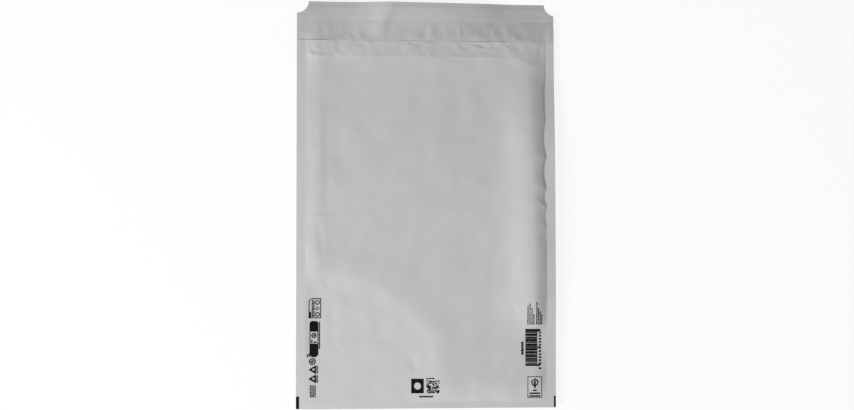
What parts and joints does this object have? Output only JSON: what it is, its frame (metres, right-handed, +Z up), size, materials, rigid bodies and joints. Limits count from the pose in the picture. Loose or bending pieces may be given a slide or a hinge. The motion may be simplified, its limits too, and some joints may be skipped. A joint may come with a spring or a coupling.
{
  "type": "padded envelope",
  "caption": "Open padded postal envelope: a white paper pouch with a bubble film lining, a notched flap and a peel-off strip, lying flat.",
  "frame": {"origin": "on the table, under the middle of the open envelope's whole outline", "axes": "+Y from the bottom fold towards the flap's free edge, +X across the envelope, to the right when read with the flap at the top, +Z up from the plain address side, which lies on the table"},
  "size_m": [0.32, 0.501, 0.0143],
  "materials": {
    "paper": "uncoated white kraft paper, matt, softly creased",
    "bubble_film": "clear bubble film, soft gloss",
    "adhesive": "hot melt pressure-sensitive adhesive, tacky and glossy",
    "liner_paper": "siliconed release paper, faint satin sheen"
  },
  "bodies": {
    "root": {"paper_envelope": "paper", "bubble_lining": "bubble_film", "adhesive_strip": "adhesive", "release_liner": "liner_paper"}
  },
  "joints": []
}
